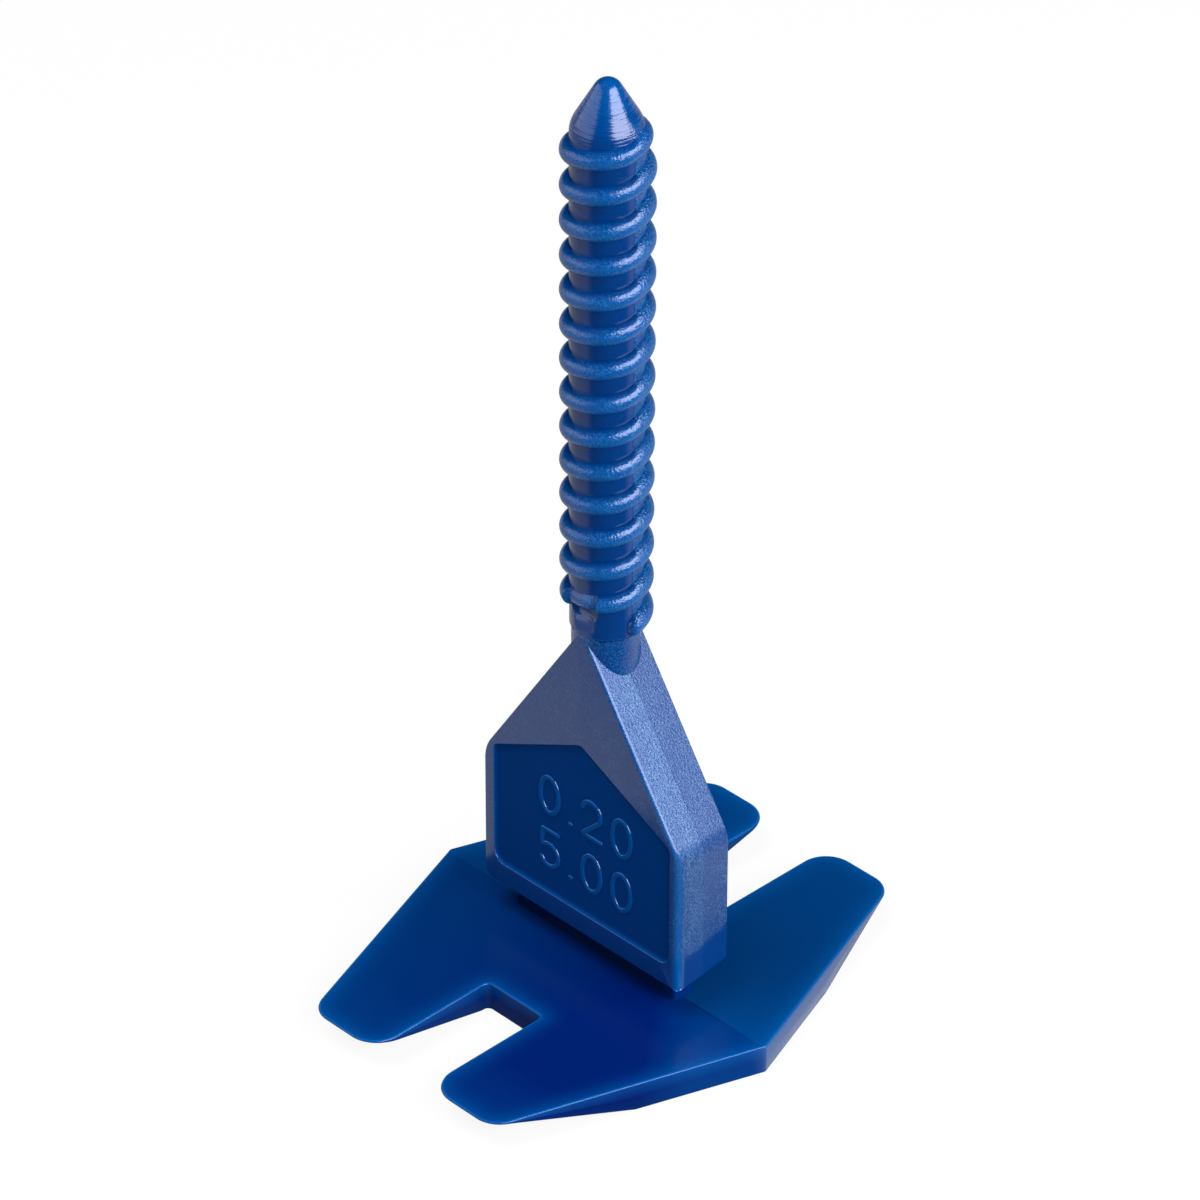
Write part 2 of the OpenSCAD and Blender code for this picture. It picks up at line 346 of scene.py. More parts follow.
quarter = np.array([
    [side_x, 0], [side_x - taper * flat_y, flat_y], [side_x - taper * tip_y, tip_y],
    [notch_x, tip_y], [notch_x, flat_y], [notch_x, root_y],
])
quarter_r = np.array([0.4, 0, 2.15, 2.3, 0, 0.45])
plate_corners = np.concatenate([
    quarter, quarter[::-1] * [-1, 1], -quarter[1:], quarter[:0:-1] * [1, -1],
])
plate_radii = np.concatenate([quarter_r, quarter_r[::-1], quarter_r[1:], quarter_r[:0:-1]])
outline, facing = round_corners(plate_corners, plate_radii, arc)
kept = np.linalg.norm(outline - np.roll(outline, 1, axis=0), axis=1) > SAME_PLACE
outline, facing = outline[kept], facing[kept]
thick = plate_top(outline[:, 1]) - plate_under(outline[:, 1])
near_tip = smooth_step(round_from, round_to, np.abs(outline[:, 1]))
edge_r = np.minimum(plate_edge, 0.25 * thick)
low_r = low_edge + (0.7 * thick - low_edge) * near_tip
low_in = low_r * (1 + near_tip)


def plate_inner(inset):
    """Outline moved inwards by a distance greater than its edge rounding."""
    return round_corners(*shrink_corners(plate_corners, plate_radii, inset), arc)[0][kept]


# The glow values are painted glow: a lighter blue rim along the plate's edges, strongest on the top edge's
# rounding and fading inwards over the top.
glow_steps = np.array([2.0, 1.3, 0.8, 0.5, 0.2])
top_glow, edge_glow, side_glow, low_glow, under_glow = 0.35, 0.8, 0.3, 0.1, 0.2
edge_angle = np.radians(np.linspace(0, 90, 7))
plate_loops = []
plate_glow = []


def add_plate_loop(ring, z, glow):
    """One closed loop of the plate, with one glow all round."""
    plate_loops.append(np.column_stack([ring, z]))
    plate_glow.append(np.full(len(ring), glow))


for inset in glow_steps:
    ring = plate_inner(inset)
    add_plate_loop(ring, plate_top(ring[:, 1]), top_glow * (1 - inset / glow_steps[0]) ** 2)
for a in edge_angle:
    ring = outline - facing * (edge_r * (1 - np.sin(a)))[:, None]
    glow = edge_glow - (edge_glow - side_glow) * np.sin(a)
    add_plate_loop(ring, plate_top(ring[:, 1]) - edge_r * (1 - np.cos(a)), glow)
parting = (plate_top(outline[:, 1]) - edge_r + plate_under(outline[:, 1]) + low_r) / 2
add_plate_loop(outline + facing * parting_out, parting, 0)
for a in edge_angle[::-1]:
    ring = outline - facing * (low_in * (1 - np.sin(a)))[:, None]
    rise = (1 - np.cos(a)) * (1 - near_tip) + np.sin(a) * near_tip
    add_plate_loop(ring, plate_under(ring[:, 1]) + low_r * rise, low_glow)
ring = outline - facing * (low_in + under_in)[:, None]
add_plate_loop(ring, plate_under(ring[:, 1]), under_glow)

around = len(outline)
plate_faces = loft_quads(len(plate_loops), around).tolist()
order = np.arange(around)
right = int(np.argmax(outline[:, 0]))
left = int(np.argmin(outline[:, 0]))
plate_faces.append(np.roll(order, -right)[: (left - right) % around + 1].tolist())
plate_faces.append(np.roll(order, -left)[: (right - left) % around + 1].tolist())
breaks = np.sort(np.nonzero(np.abs(np.abs(outline[:, 1]) - flat_y) < SAME_PLACE)[0])
low_ring = (len(plate_loops) - 1) * around
inner = np.ones(around, dtype=bool)
for a, b in breaks.reshape(4, 2):
    plate_faces.append((low_ring + order[a: b + 1][::-1]).tolist())
    inner[a + 1: b] = False
plate_faces.append((low_ring + order[inner][::-1]).tolist())
finish_piece(
    "base_plate", np.concatenate(plate_loops), plate_faces,
    {"glow": np.concatenate(plate_glow)}, [base_plastic],
)


# Break-off neck: a thin blade between plate and web that snaps when the grout has set.
# It is moulded with both and flows into them through small hollow rounds.
# Its colour is painted shade: near black under the web, a little less dark towards its right end.
NECK_SHADE_BLUE = (0.0, 0.01, 0.06, 1)
NECK_END_SHADE_BLUE = (0.0, 0.019, 0.13, 1)
shaded_neck_plastic = bpy.data.materials.new("shaded_neck_plastic")
shaded_neck_plastic.use_nodes = True
tree = shaded_neck_plastic.node_tree
neck_shader = tree.nodes["Principled BSDF"]
x, _, _ = split_node(tree, object_place(tree))
towards_right_end = map_node(tree, x, 0.0068, 0.008, 0, 1)
tree.links.new(mix_node(tree, towards_right_end, NECK_SHADE_BLUE, NECK_END_SHADE_BLUE), neck_shader.inputs["Base Color"])
neck_shader.inputs["Roughness"].default_value = 0.75
neck_shader.inputs["Specular IOR Level"].default_value = 0.03

neck_x, neck_y, neck_corner_r = 8.2, 1.0, 0.3
neck_low, neck_high, neck_round, neck_sunk = plate_t, 4.75, 0.06, 0.2
neck_corners = np.array([[-neck_x, -neck_y], [neck_x, -neck_y], [neck_x, neck_y], [-neck_x, neck_y]])
neck_angle = np.radians(np.linspace(0, 90, 6))
neck_flare = neck_round * (1 - np.sin(neck_angle))
neck_rise = neck_round * (1 - np.cos(neck_angle))
neck_z = np.concatenate([
    [neck_low - neck_sunk], neck_low + neck_rise, (neck_high - neck_rise)[::-1], [neck_high + neck_sunk],
])
neck_out = np.concatenate([[neck_round], neck_flare, neck_flare[::-1], [neck_round]])


def closed_loft(loops, count, way):
    """Faces of a loft with a face at both ends. The way is 1 for a loft away from the viewer, who sees its
    loops run anticlockwise, and -1 for one towards the viewer."""
    ends = np.arange(count)
    faces = loft_quads(loops, count)[:, ::way].tolist()
    faces.append(ends[::way].tolist())
    faces.append(((loops - 1) * count + ends)[::-way].tolist())
    return faces


neck_loops = []
for z, flare in zip(neck_z, neck_out):
    ring = round_corners(*shrink_corners(neck_corners, np.full(4, neck_corner_r), -flare), 7)[0]
    neck_loops.append(np.column_stack([ring, np.full(len(ring), z)]))
neck_faces = closed_loft(len(neck_loops), len(neck_loops[0]), -1)
finish_piece("break_neck", np.concatenate(neck_loops), neck_faces, {}, [shaded_neck_plastic])


# Joint web: the house-shaped blade that stands in the joint and sets its width. The mould splits along
# its middle, so its narrow sides meet in a faint ridge there. Each face has a shallow pocket, finished
# dull, inside a rim with a fine spark-eroded grain.
web_plastic, web_colour = moulded_plastic(
    "web_plastic", polished=0.16, gloss=0.5, eroded=0.36, relief=0.00002, smooth_below=0.0079,
)
web_colour.inputs["Frosted"].default_value = (0.04, 0.12, 0.27, 1)
dull_plastic, _ = moulded_plastic("dull_plastic", polished=0.75, gloss=0.03)

# Sizes of the web and its pocket in millimetres, and how much of the grain and of the painted glow its parts
# have.
web_x, web_y, shoulder_z, gable_z = 10, 2.5, 16.37, 31.44
web_corners = np.array([
    [-web_x, neck_high], [web_x, neck_high], [web_x, shoulder_z], [0, gable_z], [-web_x, shoulder_z],
])
foot_radius, foot_change = 0.55, 0.14
web_radii = np.array([foot_radius, foot_radius, 3.5, 0.6, 3.5])
pocket_x, pocket_low, pocket_side, pocket_top = 9, 6.69, 17.0, 21.45
pocket_corners = np.array([
    [-pocket_x, pocket_low], [pocket_x, pocket_low], [pocket_x, pocket_side], [0, pocket_top],
    [-pocket_x, pocket_side],
])
pocket_radii = np.array([1.0, 1.0, 0.7, 0.7, 0.7])
pocket_d = 0.25
draft = 0.02
tight_edge, gable_edge, soft_edge, foot_edge, sharpest = 0.1, 0.25, 0.7, 0.2, 0.02
lip, hair, below_edge, floor_in = 0.06, 0.02, 0.05, 0.3
rim_grain, edge_grain, back_grain = 0.2, 0.5, 0.55
# Painted glow: a lighter blue on the pocket floor and lip, and a band along the middle of each edge's
# rounding that fades out towards the apex.
floor_glow, lip_glow, bright_edge = 0.1, 0.3, 0.7
glow_top, glow_fade = 31.0, 3
web_arc = 15
web_outline = round_corners(web_corners, web_radii, web_arc)[0]
lip_angle = np.radians(np.linspace(0, 90, 5))
floor_y = web_y - pocket_d


def pocket_ring(inset):
    """Pocket outline moved inwards."""
    return round_corners(*shrink_corners(pocket_corners, pocket_radii, inset), web_arc)[0]


def web_ring(insets, y):
    """Web outline with each of its sides moved inwards by its own distance: corners go to where the moved
    sides cross. Along the web's thickness the radius of one lower corner grows as the other's shrinks."""
    side = np.roll(web_corners, -1, axis=0) - web_corners
    after = np.stack([side[:, 1], -side[:, 0]], axis=1) / np.linalg.norm(side, axis=1, keepdims=True)
    before = np.roll(after, 1, axis=0)
    last = np.roll(insets, 1)
    cross = before[:, 0] * after[:, 1] - before[:, 1] * after[:, 0]
    move_x = insets * before[:, 1] - last * after[:, 1]
    move_z = last * after[:, 0] - insets * before[:, 0]
    corners = web_corners + np.stack([move_x, move_z], axis=1) / cross[:, None]
    radii = web_radii + foot_change * y * np.array([-1, 1, 0, 0, 0]) - (insets + last) / 2
    return round_corners(corners, np.maximum(radii, sharpest), web_arc)[0]


def web_half(face, grained):
    """Loops of one half of the web, from its pocket out to the middle of its sides, each with its grain
    and glow. A half turn about the stem brings one half to the other: the edge to the right, seen from
    either face, is rounded more than the one to the left, and most where it stands upright."""
    edges = np.array([foot_edge, soft_edge, gable_edge, tight_edge, tight_edge])
    if face > 0:
        edges = edges[[0, 4, 3, 2, 1]]
    blend = np.linspace(0, 1, web_arc)
    edge = (np.roll(edges, 1)[:, None] * (1 - blend) + edges[:, None] * blend).ravel()
    slope = draft * web_y
    loops = [(pocket_ring(floor_in), floor_y, 0, 0)]
    for a in lip_angle:
        ring = pocket_ring(hair + lip * (1 - np.sin(a)))
        loops.append((ring, floor_y + lip * (1 - np.cos(a)), 0, floor_glow))
    for a in lip_angle[::-1]:
        ring = pocket_ring(-lip * (1 - np.sin(a)))
        loops.append((ring, web_y - lip * (1 - np.cos(a)), rim_grain * grained, lip_glow))
    loops.append((pocket_ring(-lip - hair), web_y, rim_grain * grained, 0))
    for a in edge_angle:
        ring = web_ring(edges * (1 - np.sin(a)) + slope, face * web_y)
        depth = web_y - edge * (1 - np.cos(a))
        grain = rim_grain + edge_grain * np.sin(a)
        loops.append((ring, depth, grain, bright_edge * np.sin(2 * a) ** 2))
    ring = web_ring(0 * edges + slope, face * web_y)
    loops.append((ring, web_y - edge - below_edge, grained, 0))
    loops.append((web_ring(0 * edges, 0), hair, grained, 0))
    fade = np.clip((glow_top - web_outline[:, 1]) / glow_fade, 0, 1)
    marked = []
    for xz, y, grain, glow in loops:
        points = np.column_stack([xz[:, 0], np.broadcast_to(face * y, len(xz)), xz[:, 1]])
        marked.append((points, np.full(len(xz), grain), glow * fade))
    return marked


web_loops, web_grain, web_glow = zip(*web_half(-1, 1.0), *web_half(1, back_grain)[::-1])
web_count = len(web_outline)
loft_row = np.repeat(np.arange(len(web_loops) - 1), web_count)
dull = (loft_row < len(lip_angle)) | (loft_row >= len(web_loops) - 1 - len(lip_angle))
finish_piece(
    "joint_web", np.concatenate(web_loops), closed_loft(len(web_loops), web_count, 1),
    {"grain": np.concatenate(web_grain), "glow": np.concatenate(web_glow)},
    [web_plastic, dull_plastic], np.append(dull, [True, True]), sharp=30,
)


# Joint-width mark: plain numbers for the width of the joint, in two rows, raised a little from the floor
# of the front pocket. They are cut into the mould with a round-ended tool, so every stroke has one width.
digit_w, digit_h, digit_gap = 1.85, 3.1, 0.8
row_start = -4.55
number_rows = (("0.20", 15.2), ("5.00", 10.45))
stroke_w = 0.42
raised = 0.1
sunk = 0.05


def even_path(corners, steps):
    """Points at equal distances along a chain of corners."""
    corners = np.asarray(corners, dtype=float)
    length = np.append(0, np.cumsum(np.linalg.norm(np.diff(corners, axis=0), axis=1)))
    at = np.linspace(0, length[-1], steps)
    return np.stack([np.interp(at, length, corners[:, 0]), np.interp(at, length, corners[:, 1])], axis=1)


def ellipse_arc(cx, cz, rx, rz, start, end, steps=40):
    """Part of an ellipse between two angles in degrees."""
    t = np.radians(np.linspace(start, end, steps))
    return np.stack([cx + rx * np.cos(t), cz + rz * np.sin(t)], axis=1)


half_w, half_h = digit_w / 2, digit_h / 2
bowl = 0.62 * half_h
digits = {
    "0": ellipse_arc(0, 0, half_w, half_h, 90, -270, 72),
    "2": even_path(np.concatenate([
        ellipse_arc(0, half_h - bowl, half_w, bowl, 165, -30), [[-half_w, -half_h]], [[half_w, -half_h]],
    ]), 72),
    "5": even_path(np.concatenate([
        [[0.9 * half_w, half_h], [-0.75 * half_w, half_h], [-0.9 * half_w, 0.12 * half_h]],
        ellipse_arc(-0.05, bowl - half_h, half_w, bowl, 125, -150),
    ]), 72),
    ".": even_path([[-0.02, 0.1 - half_h], [0.02, 0.1 - half_h]], 3),
}
section_x = np.array([-1, -0.94, -0.75, -0.4, 0.4, 0.75, 0.94, 1, 0]) / 2
section_y = np.array([-sunk, 0.62, 0.92, 1.0, 1.0, 0.92, 0.62, -sunk, -sunk])
section_y = np.where(section_y > 0, section_y * raised, section_y)
section_top = np.isin(np.arange(len(section_x)), [2, 3, 4])
ball_end = np.sin(np.radians(np.linspace(0, 90, 7)))


def stroke(path):
    """Raised stroke: one section carried along a path in the plane of the web's face. Its width and
    height close in a quarter circle at both ends."""
    extra = len(ball_end) - 1
    step = np.gradient(path, axis=0)
    step = step / np.linalg.norm(step, axis=1, keepdims=True)
    reach = stroke_w / 2 * np.sqrt(1 - ball_end[:-1] ** 2)[:, None]
    path = np.concatenate([path[0] - step[0] * reach, path, path[-1] + step[-1] * reach[::-1]])
    step = np.concatenate([np.repeat(step[:1], extra, axis=0), step, np.repeat(step[-1:], extra, axis=0)])
    share = np.concatenate([ball_end[:-1], np.ones(len(path) - 2 * extra), ball_end[-2::-1]])[:, None]
    side = np.stack([step[:, 1], -step[:, 0]], axis=1)
    flat = path[:, None, :] + side[:, None, :] * (stroke_w * share * section_x)[:, :, None]
    depth = -floor_y - np.where(section_y > 0, section_y * np.sqrt(share), section_y)
    return np.stack([flat[:, :, 0], depth, flat[:, :, 1]], axis=2)


number_points = []
number_faces = []
number_tops = []
points_before = 0
for row, middle_z in number_rows:
    cursor = row_start
    for digit in row:
        wide = 0 if digit == "." else digit_w
        cursor += (wide + stroke_w) / 2
        grid = stroke(digits[digit] + [cursor, middle_z])
        number_points.append(grid.reshape(-1, 3))
        number_faces.append(loft_quads(len(grid), len(section_x))[:, ::-1] + points_before)
        number_tops.append(np.tile(section_top, len(grid) - 1))
        points_before += grid.shape[0] * grid.shape[1]
        cursor += (wide + stroke_w) / 2 + digit_gap
# The numbers carry a painted glow, a lighter blue all over.
finish_piece(
    "joint_width_numbers", np.concatenate(number_points), np.concatenate(number_faces).tolist(),
    {"glow": 0.35}, [web_plastic, dull_plastic], np.concatenate(number_tops), sharp=60,
)


# Threaded stem: the post that takes the spin-on cap, with a round right-hand thread and a cone point.
# It is moulded in two halves that meet at the sides, a little out of step, and the gate was at the front
# just above the web, where the lowest turn is cut back.
stem_plastic, _ = moulded_plastic("stem_plastic", polished=0.18, gloss=0.5, eroded=0.34, relief=0.0001)

# Sizes of the stem in millimetres, and turns in degrees: core and foot, thread, point, the two mould halves,
# the slit above the foot, and the gate's mark.
core_r = 2.625
foot_r = 2.47
bead_h = 0.67
bead_w = 0.725
pitch = 2.75
ring_z = 31.05
first_z = 31.775
first_turn = -10
ball_turn = 16
last_turn = 14 * 360 + 78
fade_turn = 95
stem_z = 71.3
cone_angle = np.radians(30)
cone_blend = 0.35
nose_r = 1.07
nose_z = 73.7
foot_z = 25.0
join_z = 72.9
upper_fill, lower_fill, fill_turn = 0.26, 0.1, 70
back_lift, lift_turn = 0.02, 45
flush_r = 2.505
slit_d, slit_h, slit_edge = 0.13, 0.2, 0.004
gate_left, gate_right, gate_top = (-1.12, -1.04), (1.42, 1.34), (36.1, 35.9)
ridge_share = 0.38
bowl_x, bowl_z, bowl_wide, bowl_tall, bowl_d = 0.15, 33.35, 1.25, 1.2, 0.65

column_angle = np.unique(np.round(np.concatenate([
    np.arange(-180, 180, 4.0), np.arange(-14, 9, 1.6), np.arange(-66, -54, 1.0),
    np.arange(-122, -106, 1.2), [-3, -1.5, 0, 1.5, 3, 177, 178.5, -178.5, -177],
]), 3))
columns = len(column_angle)
low_turn, high_turn = -3, 16
strip_turn = (np.arange(low_turn, high_turn + 1)[:, None] * 360 + column_angle).ravel()
around_turn = (strip_turn + 180) % 360 - 180


def stem_radius(angle, z):
    """Radius of the stem without its thread: foot, core, and a cone that ends in a round nose. Core and
    cone flow into each other, and low at the front the core draws in to be flush with the web's face.
    A fine slit runs round between foot and core, but not at the front."""
    cone = core_r - (z - stem_z) * np.tan(cone_angle)
    meet = np.clip(0.5 + (core_r - cone) / (2 * cone_blend), 0, 1)
    body = core_r * (1 - meet) + cone * meet - cone_blend * meet * (1 - meet)
    nose = np.sqrt(np.maximum(nose_r ** 2 - np.maximum(z - nose_z, 0) ** 2, 0))
    body = np.where(z > nose_z + nose_r / 2, nose, body)
    off_front = np.abs(angle + 90)
    body = body - (core_r - flush_r) * smooth_step(60, 5, off_front) * smooth_step(34.2, 33.2, z)
    below = foot_r - slit_d * (z > ring_z - slit_h) * smooth_step(22, 34, off_front)
    return below + (body - below) * smooth_step(ring_z - slit_edge, ring_z, z)


def bead_share(whole):
    """Share of the full thread along its turns: a ball at the lower end, a long fade at the upper one."""
    start = np.clip((whole - first_turn) / ball_turn, 0, 1)
    end = np.clip((last_turn - whole) / fade_turn, 0, 1)
    return np.sqrt(1 - (1 - start) ** 2) * np.sqrt(end)


def stem_point(angle, z, bead):
    """Point of the stem at an angle and height, with the thread's height there added to the radius. At
    the front the gate's recess is cut with a round lower end, and the thread above it is cut back to a
    low ridge."""
    a = np.radians(angle)
    r = stem_radius(angle, z)
    front = -np.sin(a) > 0.5
    x = r * np.cos(a)
    gate = smooth_step(*gate_left, x) * smooth_step(*gate_right, x) * front * smooth_step(*gate_top, z)
    ridge = ridge_share * bead_h * np.clip(bead / bead_h, 0, 1) ** 3
    r = r + bead + (ridge - bead) * gate
    hollow = np.maximum(1 - ((x - bowl_x) / bowl_wide) ** 2 - ((z - bowl_z) / bowl_tall) ** 2, 0) * front
    r = r - bowl_d * np.sqrt(hollow) * smooth_step(33.6, 33.2, z)
    return np.stack([r * np.cos(a), r * np.sin(a), z], axis=-1)


# The thread is one strip wound round the stem: a groove, then the bead across it. The mould's back half is
# a little out of step, so its fillets change sides and its beads stand a little higher.
share = bead_share(strip_turn)[:, None]
behind = (smooth_step(-2.5, 2.5, around_turn) * smooth_step(180, 177, around_turn))[:, None]
stepped = (smooth_step(-16, 14, around_turn) * smooth_step(180, 166, around_turn))[:, None]
from_right = np.clip(1 - np.abs(around_turn) / fill_turn, 0, 1)[:, None]
from_left = np.clip(1 - (180 - np.abs(around_turn)) / fill_turn, 0, 1)[:, None]
over = upper_fill * (stepped * from_right + (1 - stepped) * from_left)
under = lower_fill * ((1 - stepped) * from_right + stepped * from_left)
rising = smooth_step(0, lift_turn, around_turn)[:, None]
falling = smooth_step(180, 180 - lift_turn, around_turn)[:, None]
lift = behind * rising * falling
width = bead_w * (0.3 + 0.7 * share) * (1 + 0.12 * lift)
bead_t = np.radians(np.linspace(0, 180, 21))
spread = np.where(bead_t < np.pi / 2, width + under * share, width + over * share)
groove = np.linspace(0, 1, 7)[:-1]
groove_top = np.full((len(strip_turn), 1), 1.2)
across = np.concatenate([
    -pitch / 2 + groove * (pitch / 2 - spread[:, :1]), -spread * np.cos(bead_t), groove_top,
], axis=1)
rows = across.shape[1]
bead = np.zeros_like(across)
bead[:, len(groove):-1] = share * bead_h * (1 + 0.03 * lift) * np.sin(bead_t) ** (1 + 0.5 * lift)
height = first_z + pitch * (strip_turn[:, None] - first_turn) / 360 + across
height = np.clip(height, ring_z, join_z)
bead = bead * smooth_step(join_z, join_z - 0.3, height) * smooth_step(ring_z, ring_z + 0.1, height)
angle = np.broadcast_to(around_turn[:, None], height.shape)
above_foot = smooth_step(ring_z, ring_z + 0.8, height)
below_cone = smooth_step(join_z, join_z - 1.5, height)
strip = stem_point(angle, height, bead + back_lift * lift * above_foot * below_cone)

along = len(strip_turn)
i = np.arange(along - 1)[:, None]
k = np.arange(rows)


def strip_place(i, k):
    """Place of a strip's point in the list; past the last row it is the first row one turn higher."""
    return np.where(k < rows, i * rows + k, (i + columns) * rows + k - rows)


inside = i + 1 + np.where(k + 1 < rows, 0, columns) < along
strip_quads = np.stack(np.broadcast_arrays(
    strip_place(i, k), strip_place(i + 1, k), strip_place(i + 1, k + 1), strip_place(i, k + 1),
), axis=-1)
stem_faces = strip_quads[inside].tolist()

nose_rise = np.radians(np.linspace(34, 88, 12))
point_z = np.concatenate([
    np.linspace(join_z, nose_z + nose_r / 2, 14), nose_z + nose_r * np.sin(nose_rise),
])
point_angle, point_height = np.broadcast_arrays(column_angle[None, :], point_z[:, None])
cone = stem_point(point_angle, point_height, 0 * point_height)
base = strip.size // 3
stem_faces += (base + loft_quads(len(point_z), columns)[:, ::-1]).tolist()
stem_faces.append((base + (len(point_z) - 1) * columns + np.arange(columns)).tolist())
low_z = np.concatenate([
    ring_z - np.array([0, slit_edge, slit_h / 2, slit_h - 0.001, slit_h + 0.003]),
    np.linspace(30.6, 29.0, 9), [27, foot_z],
])
low_angle, low_height = np.broadcast_arrays(column_angle[None, :], low_z[:, None])
foot = stem_point(low_angle, low_height, 0 * low_height)
base += cone.size // 3
stem_faces += (base + loft_quads(len(low_z), columns)).tolist()
stem_faces.append((base + (len(low_z) - 1) * columns + np.arange(columns))[::-1].tolist())
stem_points = np.concatenate([strip.reshape(-1, 3), cone.reshape(-1, 3), foot.reshape(-1, 3)])

# Marks of the stem: painted glow on the beads, less on their upper flanks as painted shade, and on the
# point; the back half has the most grain, and the tool left rings on the core and the point.
stem_height = stem_points[:, 2]
plain = np.zeros((cone.size + foot.size) // 3)
bead_mark = np.append((bead / bead_h).ravel(), plain)
shaded_upper_flank = np.zeros_like(across)
shaded_upper_flank[:, len(groove):-1] = smooth_step(80, 150, np.degrees(bead_t))
shaded_upper_flank = np.append(shaded_upper_flank.ravel(), plain)
behind_mark = np.append((behind * smooth_step(72.6, 70.8, height)).ravel(), plain)
above_ring = stem_height > ring_z
bead_glow_and_shade = 0.45 * np.minimum(bead_mark, 1) * (1 - 0.7 * shaded_upper_flank)
thread_grain = np.where(above_ring, 0.5 * bead_mark * (1 - behind_mark) + 0.8 * behind_mark, 0.4)
off_bead = 1 - smooth_step(0.02, 0.2, bead_mark)
finish_piece("threaded_stem", stem_points, stem_faces, {
    "glow": bead_glow_and_shade + 0.3 * smooth_step(70.8, 74.5, stem_height),
    "grain": thread_grain + 0.1 * (stem_height > join_z - 0.01),
    "tooled": off_bead * (0.35 + 0.65 * smooth_step(60, 68, stem_height)) * above_ring,
}, [stem_plastic], sharp=50)


# Stage: a pale floor that the camera sees as white with a faint shadow, a large soft light on the right
# and a smaller one high on the left. Glossy faces mirror two bright cards, and a floor that is white beside
# and behind the clip and dark in front of it, so that its front faces stay deep blue.
floor_size = 6.0
floor_drop = -0.03 * MM
floor_mesh = bpy.data.meshes.new("floor")
floor_corners = np.array([[-1, -1], [1, -1], [1, 1], [-1, 1]]) * floor_size / 2
floor_points = np.column_stack([floor_corners, np.full(4, floor_drop)])
floor_mesh.from_pydata(floor_points.tolist(), [], [(0, 1, 2, 3)])
floor = bpy.data.objects.new("floor", floor_mesh)
bpy.context.scene.collection.objects.link(floor)


def mix_shaders(tree, factor, first, second):
    """Blend of two shaders by a socket or a number."""
    node = tree.nodes.new("ShaderNodeMixShader")
    if isinstance(factor, float):
        node.inputs["Fac"].default_value = factor
    else:
        tree.links.new(factor, node.inputs["Fac"])
    tree.links.new(first, node.inputs[1])
    tree.links.new(second, node.inputs[2])
    return node.outputs["Shader"]


def vector_node(tree, operation, vector, axis=(0, 0, 0)):
    """Outputs of a node that measures a vector, by itself or along an axis."""
    node = tree.nodes.new("ShaderNodeVectorMath")
    node.operation = operation
    tree.links.new(vector, node.inputs[0])
    node.inputs[1].default_value = axis
    return node.outputs


floor_finish = bpy.data.materials.new("pale_floor")
floor_finish.use_nodes = True
tree = floor_finish.node_tree
tree.nodes.clear()
out = tree.nodes.new("ShaderNodeOutputMaterial")
paint = tree.nodes.new("ShaderNodeBsdfDiffuse")
paint.inputs["Color"].default_value = (0.35, 0.35, 0.35, 1)
bright_paint = tree.nodes.new("ShaderNodeBsdfDiffuse")
bright_paint.inputs["Color"].default_value = (0.9, 0.9, 0.9, 1)
white = tree.nodes.new("ShaderNodeEmission")
mirrored = tree.nodes.new("ShaderNodeEmission")

# The mirrored floor, by the place in metres: dark in a wedge towards the camera that is wider far out,
# with painted shadows between the petals and along the plate's right side behind, and dimmer to the
# left and far out.
wedge_azimuth = np.radians(51.6)
wedge_axis = (float(np.sin(wedge_azimuth)), float(-np.cos(wedge_azimuth)), 0)
place = object_place(tree)
x, y, _ = split_node(tree, place)
distance = vector_node(tree, "LENGTH", place)["Value"]
straight = vector_node(tree, "NORMALIZE", place)["Vector"]
ahead = vector_node(tree, "DOT_PRODUCT", straight, wedge_axis)["Value"]
far = map_node(tree, distance, 0.022, 0.035, 0, 1)
lit_near = map_node(tree, ahead, 0.77, 0.81, 1, 0.02)
lit_far = map_node(tree, ahead, 0.36, 0.62, 1, 0.02)
change = math_node(tree, "SUBTRACT", lit_far, lit_near)
lit = math_node(tree, "ADD", lit_near, math_node(tree, "MULTIPLY", far, change))
beyond = math_node(tree, "SUBTRACT", x, math_node(tree, "MULTIPLY", y, 0.19))
beside = math_node(tree, "ADD", x, math_node(tree, "MULTIPLY", y, 0.35))
unshaded = math_node(
    tree, "MAXIMUM",
    map_node(tree, beyond, 0.0165, 0.017, 0, 1), map_node(tree, beside, 0.018, 0.0187, 1, 0),
)
unshadowed_by_petals = map_node(tree, math_node(tree, "ABSOLUTE", x), 0.003, 0.005, 0.1, 1)
unshadowed_by_plate = math_node(tree, "MAXIMUM", unshaded, far)
less_left = map_node(tree, x, -0.004, 0.004, 0.74, 1.0)
less_far = map_node(tree, distance, 0.04, 0.07, 1, 0.72)
for part in (unshadowed_by_petals, unshadowed_by_plate, less_left, less_far):
    lit = math_node(tree, "MULTIPLY", lit, part)
tree.links.new(lit, mirrored.inputs["Strength"])
path = tree.nodes.new("ShaderNodeLightPath").outputs
to_camera = mix_shaders(tree, 0.1, white.outputs["Emission"], bright_paint.outputs["BSDF"])
to_rest = mix_shaders(tree, path["Is Glossy Ray"], paint.outputs["BSDF"], mirrored.outputs["Emission"])
tree.links.new(mix_shaders(tree, path["Is Camera Ray"], to_rest, to_camera), out.inputs["Surface"])
floor_finish.cycles.emission_sampling = "NONE"
floor.data.materials.append(floor_finish)


def facing_frame(azimuth, elevation):
    """Right, up and back directions of something that looks at the clip: azimuth from -Y towards +X, then
    up, in degrees."""
    a, e = np.radians([azimuth, elevation])
    back = np.array([np.sin(a) * np.cos(e), -np.cos(a) * np.cos(e), np.sin(e)])
    right = np.array([np.cos(a), np.sin(a), 0])
    return right, np.cross(back, right), back


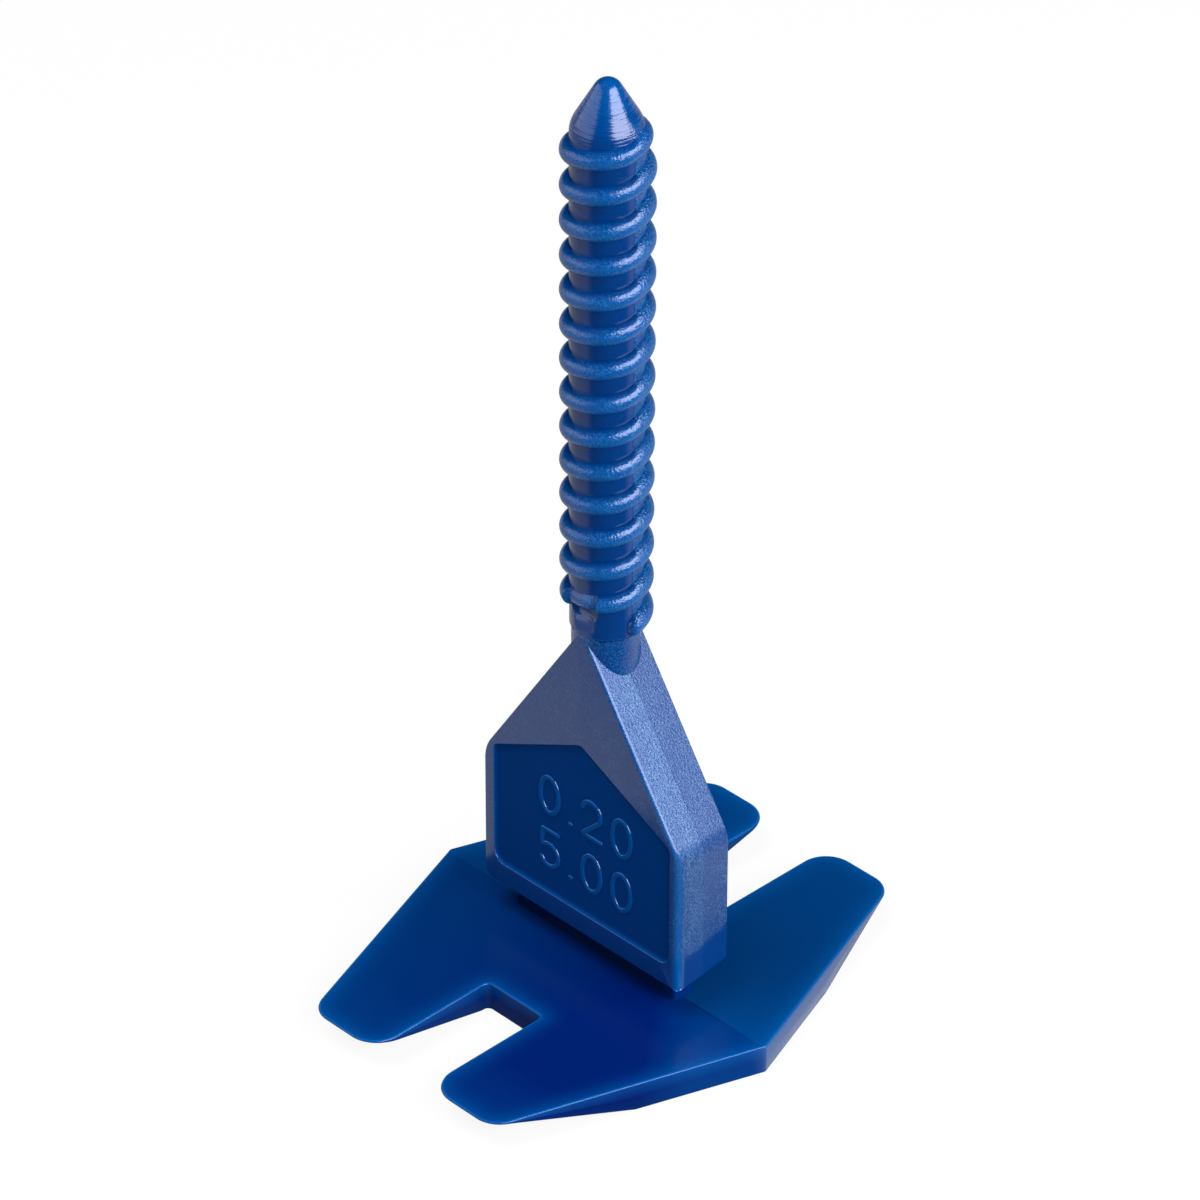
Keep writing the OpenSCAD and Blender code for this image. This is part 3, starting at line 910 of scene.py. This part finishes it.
world = bpy.data.worlds.new("studio")
bpy.context.scene.world = world
world.use_nodes = True
world.cycles.sampling_method = "NONE"
tree = world.node_tree
tree.nodes.clear()
out = tree.nodes.new("ShaderNodeOutputWorld")
direction = tree.nodes.new("ShaderNodeTexCoord").outputs["Generated"]


def towards(axis):
    """Share of the looked-at direction along one axis."""
    return vector_node(tree, "DOT_PRODUCT", direction, axis)["Value"]


def mirrored_card(azimuth, elevation, half_wide, half_tall, bright):
    """Brightness of a far rectangular card with soft edges, as a glossy face mirrors it: inside where the
    direction's share along the card's width and height, over that towards it, is under the half sizes."""
    right, up, back = facing_frame(azimuth, elevation)
    ahead = math_node(tree, "MAXIMUM", towards(back), 0.001)
    lit = map_node(tree, ahead, 0.0, 0.1, 0, bright)
    for axis, half in ((right, half_wide), (up, half_tall)):
        off = math_node(tree, "DIVIDE", math_node(tree, "ABSOLUTE", towards(axis)), ahead)
        lit = math_node(tree, "MULTIPLY", lit, map_node(tree, off, 0.85 * half, 1.1 * half, 1, 0))
    return lit


room = tree.nodes.new("ShaderNodeBackground")
room.inputs["Color"].default_value = (0.11, 0.11, 0.11, 1)
clear = tree.nodes.new("ShaderNodeBackground")
cards = tree.nodes.new("ShaderNodeBackground")
right_card = mirrored_card(94, 28, 0.56, 0.40, 14.5)
left_card = mirrored_card(-39.4, 15, 0.78, 0.36, 2.5)
tree.links.new(math_node(tree, "ADD", right_card, left_card), cards.inputs["Strength"])
path = tree.nodes.new("ShaderNodeLightPath").outputs
unseen = mix_shaders(tree, path["Is Glossy Ray"], room.outputs["Background"], cards.outputs["Background"])
seen = mix_shaders(tree, path["Is Camera Ray"], unseen, clear.outputs["Background"])
tree.links.new(seen, out.inputs["Surface"])


def placed(right, up, back, position):
    """Matrix of an object from its directions and its place."""
    return Matrix(np.vstack([np.column_stack([right, up, back, position]), [0, 0, 0, 1]]).tolist())


aim = np.array([0, 0, 0.035])


def soft_light(name, azimuth, elevation, distance, wide, tall, bright):
    """Rectangular light of one brightness, that of a white card being 1. Glossy faces mirror the world's
    cards in its place."""
    lamp = bpy.data.lights.new(name, "AREA")
    lamp.shape = "RECTANGLE"
    lamp.size, lamp.size_y = wide, tall
    lamp.energy = bright * np.pi * wide * tall
    light = bpy.data.objects.new(name, lamp)
    right, up, back = facing_frame(azimuth, elevation)
    light.matrix_world = placed(right, up, back, aim + back * distance)
    light.visible_camera = False
    light.visible_glossy = False
    bpy.context.scene.collection.objects.link(light)


soft_light("right_softbox", 90, 28, 0.5, 0.77, 0.4, 5.0)
soft_light("left_softbox", -32, 68, 0.5, 0.34, 0.3, 6.2)

camera_place = [0.26954, -0.26419, 0.29032]
right, up, back = facing_frame(45.64, 34.31)
tilt = np.radians(0.16)
right, up = np.cos(tilt) * right + np.sin(tilt) * up, np.cos(tilt) * up - np.sin(tilt) * right
camera = bpy.data.objects.new("camera", bpy.data.cameras.new("camera"))
camera.data.sensor_width = 36
camera.data.lens = 195.52
camera.data.clip_start = 0.01
camera.matrix_world = placed(right, up, back, camera_place)
bpy.context.scene.collection.objects.link(camera)
bpy.context.scene.camera = camera
bpy.context.scene.view_settings.view_transform = "Standard"
